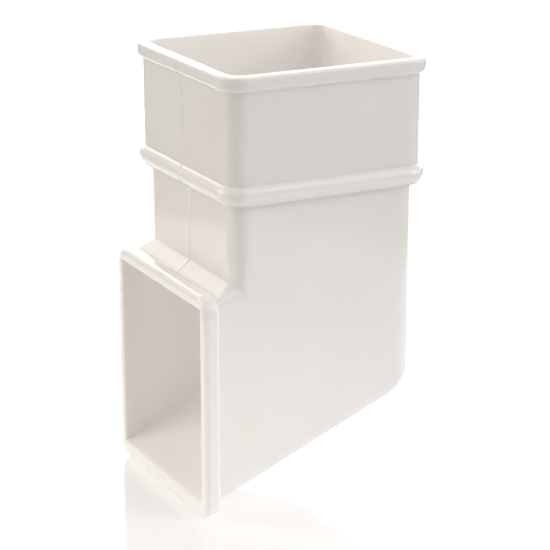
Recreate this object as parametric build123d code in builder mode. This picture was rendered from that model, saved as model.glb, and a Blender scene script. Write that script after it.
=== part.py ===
"""Shoe for the foot of a square rainwater downpipe: one hollow moulding.

The socket at the top takes the end of the pipe. The body below it closes with a
sloping bottom, which turns the water out through a hooded outlet. The origin is
on the socket's axis, at the shoulder where the pipe's end stops. +Z runs up the
pipe, and the outlet faces -Y. Sizes are in millimetres.
"""
from build123d import *
import os
from math import cos, radians, tan

os.makedirs("parts", exist_ok=True)

# Socket that the pipe pushes into
socket_bore = 65.6
socket_wall = 2.2
socket_depth = 40.0
socket_corner = 6.25
socket_base = -1.3
rim_inner_round = 0.5

# Body below the pipe's stop
body_width = 66.0
body_wall = 2.3
body_corner = 5.6
body_bottom_round = 2.8
bottom_slope = 22.5
bottom_at_axis = -83.75
bottom_wall = 2.0
back_corner = 14.5

# Hood and outlet
outlet_reach = 11.2
crease_height = -27.1
hood_top = -31.4
hood_wall = 2.6
outlet_corner = 1.2
outlet_inner_round = 0.8

# Bead round the rim
bead_proud = 1.85
rim_bead_height = 5.2
rim_bead_top_round = 1.0
rim_bead_under_round = 2.1

# Half-round bead at the foot of the socket
collar_bead_height = 6.8
collar_bead_middle = 2.1
collar_bead_round = 3.39

# Bead round the outlet
outlet_bead_proud = 1.95
outlet_bead_foot = 3.75
outlet_bead_width = 69.5
outlet_bead_depth = 5.5
outlet_bead_corner = 6.3
outlet_bead_front_round = 2.0
outlet_bead_back_round = 1.4

# Fine ridge where the two halves of the mould met
ridge_width = 0.7
ridge_height = 0.12

# Sizes that follow from those above
socket_width = socket_bore + 2 * socket_wall
socket_bead_width = socket_width + 2 * bead_proud
half_body = body_width / 2
half_waterway = half_body - body_wall
outlet_face = -half_body - outlet_reach
outlet_bead_back = outlet_face + outlet_bead_depth
hood_rise = (crease_height - hood_top) / (-half_body - outlet_bead_back)
ceiling = hood_top - hood_wall
overlap = 3.0
spout_root = -half_body + body_corner + overlap
corner_growth = (body_corner - outlet_corner) / (-half_body - outlet_bead_back)
root_top_corner = outlet_corner + (spout_root - outlet_bead_back) * corner_growth


def bottom_height(y, wall=0.0):
    """Height at y of the sloping bottom, or of a face a wall's thickness above it."""
    slope = radians(bottom_slope)
    return bottom_at_axis + y * tan(slope) + wall / cos(slope)


def hood_height(y, wall=0.0):
    """Height at y of the sloping hood, or of a face a wall's thickness below it."""
    return hood_top + (y - outlet_bead_back) * hood_rise - wall


def tube_outline(half_width, wall=0.0):
    """Side outline of a tube that the sloping bottom closes."""
    return Polyline(
        (-half_width, overlap),
        (-half_width, bottom_height(-half_width, wall)),
        (half_width, bottom_height(half_width, wall)),
        (half_width, overlap),
        (-half_width, overlap),
    )


# Tube of the body, still solid, its side edges rounded where it closes below
with BuildPart() as trunk:
    with BuildSketch(Plane.YZ.offset(-half_body)) as trunk_outline:
        with BuildLine():
            tube_outline(half_body)
        make_face()
        back_bottom = trunk_outline.vertices().group_by(Axis.X)[-1].sort_by(Axis.Y)[0]
        fillet(back_bottom, radius=back_corner)
    extrude(amount=body_width)
    side_edges = trunk.faces().filter_by(Axis.X).edges()
    lower_edges = side_edges - side_edges.group_by(Axis.Z)[-1] - side_edges.group_by(Axis.Y)[0]
    fillet(lower_edges, radius=body_bottom_round)
    with BuildSketch(Plane.XY.offset(overlap)):
        RectangleRounded(body_width, body_width, body_corner)
    extrude(amount=bottom_height(-half_body) - overlap, mode=Mode.INTERSECT)

# Spout, still solid: from within the tube out under the hood, its corners tightening
with BuildPart() as spout:
    with BuildSketch(Plane.XZ.offset(-spout_root)) as root_section:
        with Locations((0, (hood_height(spout_root) + bottom_height(spout_root)) / 2)):
            Rectangle(body_width, hood_height(spout_root) - bottom_height(spout_root))
        fillet(root_section.vertices().group_by(Axis.Y)[-1], radius=root_top_corner)
    with BuildSketch(Plane.XZ.offset(-outlet_bead_back)) as end_section:
        with Locations((0, (hood_top + bottom_height(outlet_bead_back)) / 2)):
            Rectangle(body_width, hood_top - bottom_height(outlet_bead_back))
        fillet(end_section.vertices().group_by(Axis.Y)[-1], radius=outlet_corner)
    loft(ruled=True)
    bottom_edges = spout.faces().sort_by(Axis.Z)[0].edges()
    fillet(bottom_edges - bottom_edges.filter_by(Axis.X), radius=body_bottom_round)
    extrude(spout.faces().sort_by(Axis.Y)[0], amount=outlet_bead_depth / 2)

# Bead round the rim: rounded over at the top and tucked under to the wall
with BuildPart() as rim_bead:
    with BuildSketch(Plane.XY.offset(socket_depth - rim_bead_height)):
        RectangleRounded(socket_bead_width, socket_bead_width, socket_corner + bead_proud)
    extrude(amount=rim_bead_height)
    fillet(rim_bead.edges().group_by(Axis.Z)[-1], radius=rim_bead_top_round)
    fillet(rim_bead.edges().group_by(Axis.Z)[0], radius=rim_bead_under_round)

# Half-round bead at the foot of the socket
with BuildPart() as collar_bead:
    with BuildSketch(Plane.XY.offset(collar_bead_middle - collar_bead_height / 2)):
        RectangleRounded(socket_bead_width, socket_bead_width, socket_corner + bead_proud)
    extrude(amount=collar_bead_height)
    fillet(collar_bead.edges().group_by(Axis.Z)[-1], radius=collar_bead_round)
    fillet(collar_bead.edges().group_by(Axis.Z)[0], radius=collar_bead_round)

# Bead round the outlet, whose underside slopes with the bottom
with BuildPart() as outlet_bead:
    bead_top = hood_top + outlet_bead_proud
    with BuildSketch(Plane.YZ.offset(-outlet_bead_width / 2)):
        with BuildLine():
            Polyline(
                (outlet_face, bead_top),
                (outlet_bead_back, bead_top),
                (outlet_bead_back, bottom_height(outlet_bead_back, -outlet_bead_foot)),
                (outlet_face, bottom_height(outlet_face, -outlet_bead_foot)),
                (outlet_face, bead_top),
            )
        make_face()
    extrude(amount=outlet_bead_width)
    bead_ends = outlet_bead.faces().filter_by(Axis.X).edges()
    fillet(bead_ends - bead_ends.filter_by(Axis.Z), radius=outlet_bead_corner)
    fillet(outlet_bead.faces().sort_by(Axis.Y)[0].edges(), radius=outlet_bead_front_round)
    fillet(outlet_bead.faces().sort_by(Axis.Y)[-1].edges(), radius=outlet_bead_back_round)

# Outside of the moulding, still solid
with BuildPart() as outside:
    add(trunk.part)
    add(spout.part)
    with BuildSketch(Plane.XY.offset(socket_base)):
        RectangleRounded(socket_width, socket_width, socket_corner)
    extrude(amount=socket_depth - socket_base)
    add(rim_bead.part)
    add(collar_bead.part)
    add(outlet_bead.part)
    middle_section = section(section_by=Plane.YZ)

# Ridge down the middle of the outside, in the plane where the mould parted; the
# hood's line is straight there, so it is drawn as a plain line
with BuildPart() as ridge:
    with BuildSketch(Plane.YZ.offset(-ridge_width / 2)):
        with BuildLine():
            for edge in Plane.YZ.to_local_coords(middle_section).edges():
                if edge.geom_type == GeomType.BSPLINE:
                    Line(edge @ 0, edge @ 1)
                else:
                    add(edge)
        make_face()
        offset(amount=ridge_height)
    extrude(amount=ridge_width)
    split(bisect_by=Plane.XY.offset(socket_depth), keep=Keep.BOTTOM)
    split(bisect_by=Plane.XZ.offset(-outlet_face), keep=Keep.BOTTOM)

# Way for the water down the tube, from the pipe's stop to the sloping bottom
with BuildPart() as pipe_way:
    with BuildSketch(Plane.YZ.offset(-half_waterway)) as pipe_way_outline:
        with BuildLine():
            tube_outline(half_waterway, bottom_wall)
        make_face()
        back_bottom = pipe_way_outline.vertices().group_by(Axis.X)[-1].sort_by(Axis.Y)[0]
        fillet(back_bottom, radius=back_corner - bottom_wall)
    extrude(amount=2 * half_waterway)
    with BuildSketch(Plane.XY.offset(overlap)):
        RectangleRounded(2 * half_waterway, 2 * half_waterway, body_corner - body_wall)
    extrude(amount=bottom_height(-half_body) - overlap, mode=Mode.INTERSECT)

# Way for the water out under the hood and past the outlet's face
with BuildPart() as outlet_way:
    way_out = outlet_face - overlap
    with BuildSketch(Plane.YZ.offset(-half_waterway)):
        with BuildLine():
            Polyline(
                (spout_root, hood_height(spout_root, hood_wall)),
                (outlet_bead_back, ceiling),
                (way_out, ceiling),
                (way_out, bottom_height(way_out, bottom_wall)),
                (spout_root, bottom_height(spout_root, bottom_wall)),
                (spout_root, hood_height(spout_root, hood_wall)),
            )
        make_face()
    extrude(amount=2 * half_waterway)

# The shoe: the outside and its ridge, hollowed by the two waterways and the socket
with BuildPart() as shoe_body:
    add(outside.part)
    add(ridge.part)
    add(pipe_way.part, mode=Mode.SUBTRACT)
    add(outlet_way.part, mode=Mode.SUBTRACT)
    with BuildSketch(Plane.XY):
        RectangleRounded(socket_bore, socket_bore, socket_corner - socket_wall)
    extrude(amount=socket_depth + overlap, mode=Mode.SUBTRACT)
    rim_top = shoe_body.faces().filter_by(Axis.Z).sort_by(Axis.Z)[-1]
    fillet(rim_top.inner_wires().edges(), radius=rim_inner_round)
    outlet_front = shoe_body.faces().filter_by(Axis.Y).sort_by(Axis.Y)[0]
    fillet(outlet_front.inner_wires().edges(), radius=outlet_inner_round)

shoe_body.part.label = "shoe_body"
export_step(shoe_body.part, "parts/shoe_body.step")
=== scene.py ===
"""Studio scene for a white uPVC downpipe shoe, standing on a pale glossy table."""
import math

import bmesh
import bpy
from mathutils import Matrix, Vector


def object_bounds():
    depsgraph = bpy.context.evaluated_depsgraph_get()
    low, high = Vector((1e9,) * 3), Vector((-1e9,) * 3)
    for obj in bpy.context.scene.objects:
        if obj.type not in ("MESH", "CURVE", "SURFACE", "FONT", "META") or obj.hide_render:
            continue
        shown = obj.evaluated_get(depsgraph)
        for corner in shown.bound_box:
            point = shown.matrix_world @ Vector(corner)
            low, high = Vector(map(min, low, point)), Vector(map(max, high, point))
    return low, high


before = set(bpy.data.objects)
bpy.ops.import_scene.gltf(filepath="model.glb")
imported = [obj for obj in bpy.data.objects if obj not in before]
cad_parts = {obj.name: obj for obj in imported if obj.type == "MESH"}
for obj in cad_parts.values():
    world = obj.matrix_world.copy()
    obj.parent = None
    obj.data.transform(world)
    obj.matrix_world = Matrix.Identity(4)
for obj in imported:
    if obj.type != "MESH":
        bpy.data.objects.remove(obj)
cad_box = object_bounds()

# Camera, in degrees and metres: where it stands round the part, and what it aims at
camera_azimuth = 62.64
camera_elevation = 17.42
camera_distance = 0.6845
camera_near_clip = 0.01
aim_height = -0.035
aim_right = -0.00135
aim_up = -0.00202

# Its lens: the picture's width and the focal length in pixels, and the sensor in millimetres
picture_pixels = 550.0
focal_pixels = 2040.4
sensor_width = 36.0

# White table, square on to the camera: how far it reaches from the part's axis, and its finish
table_half_width = 0.28
table_front = 0.28
table_back = 1.5
table_white = (0.8, 0.8, 0.8, 1.0)
table_roughness = 0.05
table_glow = 0.25
table_glow_colour = (1.0, 1.0, 1.0, 1.0)

# White rigid PVC: its two close tints, its polish, and how far light goes into it
upvc_white = (0.945, 0.914, 0.890, 1.0)
upvc_cream = (0.937, 0.903, 0.875, 1.0)
polished_roughness = 0.09
rubbed_roughness = 0.16
cloudiness = 0.6
cloud_spread = (1.0, 1.0, 1.0)
cloud_depth = 0.004

# Slow sinks in the walls and the mould's own polish: lumps a metre, fineness and depth
sink_scale = 35.0
sink_detail = 1.0
sink_depth = 0.0002
polish_scale = 700.0
polish_detail = 2.0
polish_depth = 0.000004

# Rubs and flow marks: lumps a metre, fineness, how drawn out they are along Z,
# and the range of the noise over which a mark comes in
rub_scale = 260.0
rub_detail = 3.0
rub_stretch = 5.0
rub_start, rub_full = 0.5, 0.75
flow_scale = 60.0
flow_detail = 2.0
flow_stretch = 3.0
flow_start, flow_full = 0.3, 0.7

# Rounded crest of the fine ridge down the middle
crest_half_width = 0.00035
crest_height = 0.00009

# Where the crest may lie: further from the axis than the walls' inside and, in front,
# above the outlet's roof and behind the outlet's bead
walls_outside = 0.0329
outlet_roof = -0.0345
outlet_bead_back = -0.0386

# Soft lobes of light round the part: azimuth and elevation of each lobe's middle,
# how tight it is, its strength and its colour
broad = 6.0
narrow = 30.0
neutral_light = (1.03, 1.005, 1.0, 1.0)
warm_light = (1.04, 0.99, 0.905, 1.0)
front_lobes = {
    "outlet_side": (2.6, 35.0, broad, 1.07, warm_light),
    "front_left": (12.0, 17.0, narrow, 0.43, warm_light),
    "front": (37.0, 17.0, narrow, 1.32, warm_light),
    "right_high": (117.0, 45.0, narrow, 3.0, neutral_light),
    "right": (142.0, 17.0, narrow, 5.8, neutral_light),
    "above": (242.6, 62.0, broad, 0.72, neutral_light),
    "left_high": (297.0, 45.0, narrow, 0.5, warm_light),
    "left": (322.0, 17.0, narrow, 4.7, warm_light),
}
backdrop_lobes = {
    "behind_right": (182.6, 5.0, broad, 0.81, neutral_light),
    "behind_right_high": (182.6, 35.0, broad, 0.82, neutral_light),
    "behind": (217.0, 17.0, narrow, 4.06, neutral_light),
    "behind_low": (238.0, 6.0, narrow, 2.0, neutral_light),
    "behind_middle": (242.0, 35.0, narrow, 1.04, neutral_light),
    "behind_left": (267.0, 17.0, narrow, 3.81, neutral_light),
    "behind_left_high": (265.0, 40.0, narrow, 2.5, neutral_light),
}

# Share of the backdrop's light that falls on matt surfaces; gloss mirrors all of it
backdrop_share = 0.3


def direction(azimuth, elevation):
    """Unit vector from the part to a place round it; azimuth 0 is the outlet's side."""
    turn = math.radians(azimuth)
    rise = math.radians(elevation)
    flat = math.cos(rise)
    return Vector((math.sin(turn) * flat, -math.cos(turn) * flat, math.sin(rise)))


def rightward(back):
    """Level unit vector to the right of a viewer who stands in the direction back."""
    return Vector((0.0, 0.0, 1.0)).cross(back).normalized()


def math_node(tree, operation, first, second=None):
    """Output of a math node whose inputs are sockets or plain numbers."""
    node = tree.nodes.new("ShaderNodeMath")
    node.operation = operation
    for place, value in zip(node.inputs, (first, second)):
        if isinstance(value, bpy.types.NodeSocket):
            tree.links.new(value, place)
        elif value is not None:
            place.default_value = value
    return node.outputs["Value"]


def vector_node(tree, operation, *values):
    """Vector math node whose first inputs are these sockets."""
    node = tree.nodes.new("ShaderNodeVectorMath")
    node.operation = operation
    for place, value in zip(node.inputs, values):
        tree.links.new(value, place)
    return node


def scaled_light(tree, light, factor):
    """Light multiplied by a number that changes over the sky."""
    node = vector_node(tree, "SCALE", light)
    tree.links.new(factor, node.inputs["Scale"])
    return node.outputs["Vector"]


def noise_node(tree, position, scale, detail, stretch=1.0):
    """Noise over the surface, in lumps of about 1 / scale metres, drawn out along Z by stretch."""
    if stretch != 1.0:
        mapping = tree.nodes.new("ShaderNodeMapping")
        mapping.inputs["Scale"].default_value = (1.0, 1.0, 1.0 / stretch)
        tree.links.new(position, mapping.inputs["Vector"])
        position = mapping.outputs["Vector"]
    noise = tree.nodes.new("ShaderNodeTexNoise")
    noise.inputs["Scale"].default_value = scale
    noise.inputs["Detail"].default_value = detail
    tree.links.new(position, noise.inputs["Vector"])
    return noise.outputs["Fac"]


def range_node(tree, value, low, high, new_low=0.0, new_high=1.0):
    """Value moved smoothly from one range to another and held inside it."""
    node = tree.nodes.new("ShaderNodeMapRange")
    node.interpolation_type = "SMOOTHSTEP"
    tree.links.new(value, node.inputs["Value"])
    limits = {"From Min": low, "From Max": high, "To Min": new_low, "To Max": new_high}
    for title, number in limits.items():
        node.inputs[title].default_value = number
    return node.outputs["Result"]


def bump_node(tree, height, distance, under=None):
    """Normal of a surface raised by height, on top of another normal if there is one."""
    bump = tree.nodes.new("ShaderNodeBump")
    bump.inputs["Distance"].default_value = distance
    tree.links.new(height, bump.inputs["Height"])
    if under is not None:
        tree.links.new(under, bump.inputs["Normal"])
    return bump.outputs["Normal"]


def new_group(name, inputs, outputs):
    """Empty node group with these sockets, and the nodes at its start and its end."""
    group = bpy.data.node_groups.new(name, "ShaderNodeTree")
    for side, sockets in (("INPUT", inputs), ("OUTPUT", outputs)):
        for title, kind in sockets.items():
            group.interface.new_socket(title, in_out=side, socket_type=kind)
    return group, group.nodes.new("NodeGroupInput"), group.nodes.new("NodeGroupOutput")


def add_camera():
    """Camera at the photograph's angle and distance, with the part's axis upright."""
    back = direction(camera_azimuth, camera_elevation)
    right = rightward(back)
    up = back.cross(right)
    aim = Vector((0.0, 0.0, aim_height)) + right * aim_right + up * aim_up
    turned = Matrix((right, up, back)).transposed().to_4x4()
    lens = bpy.data.cameras.new("studio_camera")
    lens.sensor_width = sensor_width
    lens.lens = focal_pixels / picture_pixels * sensor_width
    lens.clip_start = camera_near_clip
    camera = bpy.data.objects.new("studio_camera", lens)
    camera.matrix_world = Matrix.Translation(aim + back * camera_distance) @ turned
    bpy.context.collection.objects.link(camera)
    bpy.context.scene.camera = camera


def soft_lobe_group():
    """Coloured light that falls off smoothly round one direction of the sky."""
    inputs = {
        "Sky Direction": "NodeSocketVector",
        "Lobe Direction": "NodeSocketVector",
        "Tightness": "NodeSocketFloat",
        "Strength": "NodeSocketFloat",
        "Colour": "NodeSocketColor",
    }
    group, start, end = new_group("soft_lobe", inputs, {"Light": "NodeSocketColor"})
    sky, middle = start.outputs["Sky Direction"], start.outputs["Lobe Direction"]
    nearness = vector_node(group, "DOT_PRODUCT", sky, middle).outputs["Value"]
    away = math_node(group, "SUBTRACT", nearness, 1.0)
    scaled = math_node(group, "MULTIPLY", away, start.outputs["Tightness"])
    fall_off = math_node(group, "EXPONENT", scaled)
    light = math_node(group, "MULTIPLY", fall_off, start.outputs["Strength"])
    coloured = scaled_light(group, start.outputs["Colour"], light)
    group.links.new(coloured, end.inputs["Light"])
    return group


def add_lobes(tree, sky, lobe_group, lobes):
    """Sum of the light of all the lobes of one set."""
    light = None
    for name, (azimuth, elevation, tightness, strength, colour) in lobes.items():
        lobe = tree.nodes.new("ShaderNodeGroup")
        lobe.node_tree = lobe_group
        lobe.label = name
        lobe.inputs["Lobe Direction"].default_value = direction(azimuth, elevation)
        lobe.inputs["Tightness"].default_value = tightness
        lobe.inputs["Strength"].default_value = strength
        lobe.inputs["Colour"].default_value = colour
        tree.links.new(sky, lobe.inputs["Sky Direction"])
        if light is None:
            light = lobe.outputs["Light"]
        else:
            light = vector_node(tree, "ADD", lobe.outputs["Light"], light).outputs["Vector"]
    return light


def light_world():
    """White to the camera; to everything else, soft lobes of light above a dark floor."""
    world = bpy.data.worlds.new("white_studio")
    world.use_nodes = True
    tree = world.node_tree
    sky = tree.nodes.new("ShaderNodeTexCoord").outputs["Generated"]
    ray = tree.nodes.new("ShaderNodeLightPath")
    lobe_group = soft_lobe_group()
    front = add_lobes(tree, sky, lobe_group, front_lobes)
    backdrop = add_lobes(tree, sky, lobe_group, backdrop_lobes)
    mirrored = math_node(tree, "MAXIMUM", ray.outputs["Is Glossy Ray"], backdrop_share)
    shared = scaled_light(tree, backdrop, mirrored)
    light = vector_node(tree, "ADD", front, shared).outputs["Vector"]
    split = tree.nodes.new("ShaderNodeSeparateXYZ")
    tree.links.new(sky, split.inputs["Vector"])
    above_floor = math_node(tree, "GREATER_THAN", split.outputs["Z"], 0.0)
    light = scaled_light(tree, light, above_floor)
    white = vector_node(tree, "MAXIMUM", light, ray.outputs["Is Camera Ray"])
    tree.links.new(white.outputs["Vector"], tree.nodes["Background"].inputs["Color"])
    bpy.context.scene.world = world


def table_material():
    """Glossy white acrylic sheet, faintly lit from below."""
    material = bpy.data.materials.new("white_acrylic_table")
    material.use_nodes = True
    shader = material.node_tree.nodes["Principled BSDF"]
    shader.inputs["Base Color"].default_value = table_white
    shader.inputs["Roughness"].default_value = table_roughness
    shader.inputs["Emission Color"].default_value = table_glow_colour
    shader.inputs["Emission Strength"].default_value = table_glow
    return material


def add_table():
    """Sheet at the height of the part's lowest point, turned to the camera."""
    near = direction(camera_azimuth, 0.0)
    aside = rightward(near) * table_half_width
    foot = Vector((0.0, 0.0, cad_box[0][2]))
    front = foot + near * table_front
    back = foot - near * table_back
    sheet = bmesh.new()
    corners = (front - aside, front + aside, back + aside, back - aside)
    sheet.faces.new([sheet.verts.new(corner) for corner in corners])
    mesh = bpy.data.meshes.new("table")
    sheet.to_mesh(mesh)
    sheet.free()
    mesh.materials.append(table_material())
    table = bpy.data.objects.new("table", mesh)
    bpy.context.collection.objects.link(table)


def ridge_crest(tree, position):
    """Height of the ridge's rounded crest: 1 on its middle line, 0 beside it and inside."""
    place = tree.nodes.new("ShaderNodeSeparateXYZ")
    tree.links.new(position, place.inputs["Vector"])
    along, height = place.outputs["Y"], place.outputs["Z"]
    back = math_node(tree, "GREATER_THAN", along, walls_outside)
    front = math_node(tree, "LESS_THAN", along, -walls_outside)
    above_outlet = math_node(tree, "GREATER_THAN", height, outlet_roof)
    behind_bead = math_node(tree, "GREATER_THAN", along, outlet_bead_back)
    clear_of_outlet = math_node(tree, "MULTIPLY", above_outlet, behind_bead)
    outside = math_node(tree, "ADD", back, math_node(tree, "MULTIPLY", front, clear_of_outlet))
    aside = math_node(tree, "ABSOLUTE", place.outputs["X"])
    crest = range_node(tree, aside, 0.0, crest_half_width, new_low=1.0, new_high=0.0)
    return math_node(tree, "MULTIPLY", crest, outside)


def moulded_skin_group():
    """Skin of an injection moulding: sinks, the mould's polish and ridge, rubs and flow marks."""
    outputs = {"Normal": "NodeSocketVector", "Rubbed": "NodeSocketFloat", "Flow": "NodeSocketFloat"}
    group, start, end = new_group("moulded_skin", {"Position": "NodeSocketVector"}, outputs)
    position = start.outputs["Position"]
    lumps = noise_node(group, position, sink_scale, sink_detail)
    sinks = bump_node(group, lumps, sink_depth)
    grain = noise_node(group, position, polish_scale, polish_detail)
    polish = bump_node(group, grain, polish_depth, sinks)
    crest = bump_node(group, ridge_crest(group, position), crest_height, polish)
    group.links.new(crest, end.inputs["Normal"])
    rubs = noise_node(group, position, rub_scale, rub_detail, rub_stretch)
    group.links.new(range_node(group, rubs, rub_start, rub_full), end.inputs["Rubbed"])
    flow = noise_node(group, position, flow_scale, flow_detail, flow_stretch)
    group.links.new(range_node(group, flow, flow_start, flow_full), end.inputs["Flow"])
    return group


def upvc_material():
    """Glossy white rigid PVC, a little cloudy inside."""
    material = bpy.data.materials.new("moulded_white_upvc")
    material.use_nodes = True
    tree = material.node_tree
    shader = tree.nodes["Principled BSDF"]
    shader.inputs["Subsurface Weight"].default_value = cloudiness
    shader.inputs["Subsurface Radius"].default_value = cloud_spread
    shader.inputs["Subsurface Scale"].default_value = cloud_depth
    coordinates = tree.nodes.new("ShaderNodeTexCoord")
    skin = tree.nodes.new("ShaderNodeGroup")
    skin.node_tree = moulded_skin_group()
    tree.links.new(coordinates.outputs["Object"], skin.inputs["Position"])
    tree.links.new(skin.outputs["Normal"], shader.inputs["Normal"])
    rubbed = skin.outputs["Rubbed"]
    roughness = range_node(tree, rubbed, 0.0, 1.0, polished_roughness, rubbed_roughness)
    tree.links.new(roughness, shader.inputs["Roughness"])
    tint = tree.nodes.new("ShaderNodeMix")
    tint.data_type = "RGBA"
    tint.inputs["A"].default_value = upvc_white
    tint.inputs["B"].default_value = upvc_cream
    tree.links.new(skin.outputs["Flow"], tint.inputs["Factor"])
    tree.links.new(tint.outputs["Result"], shader.inputs["Base Color"])
    return material


def dress_shoe():
    """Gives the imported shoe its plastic; its shape stays as it is."""
    upvc = upvc_material()
    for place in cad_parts["shoe_body"].material_slots:
        place.material = upvc


dress_shoe()
add_table()
add_camera()
light_world()
bpy.context.scene.view_settings.view_transform = "Standard"
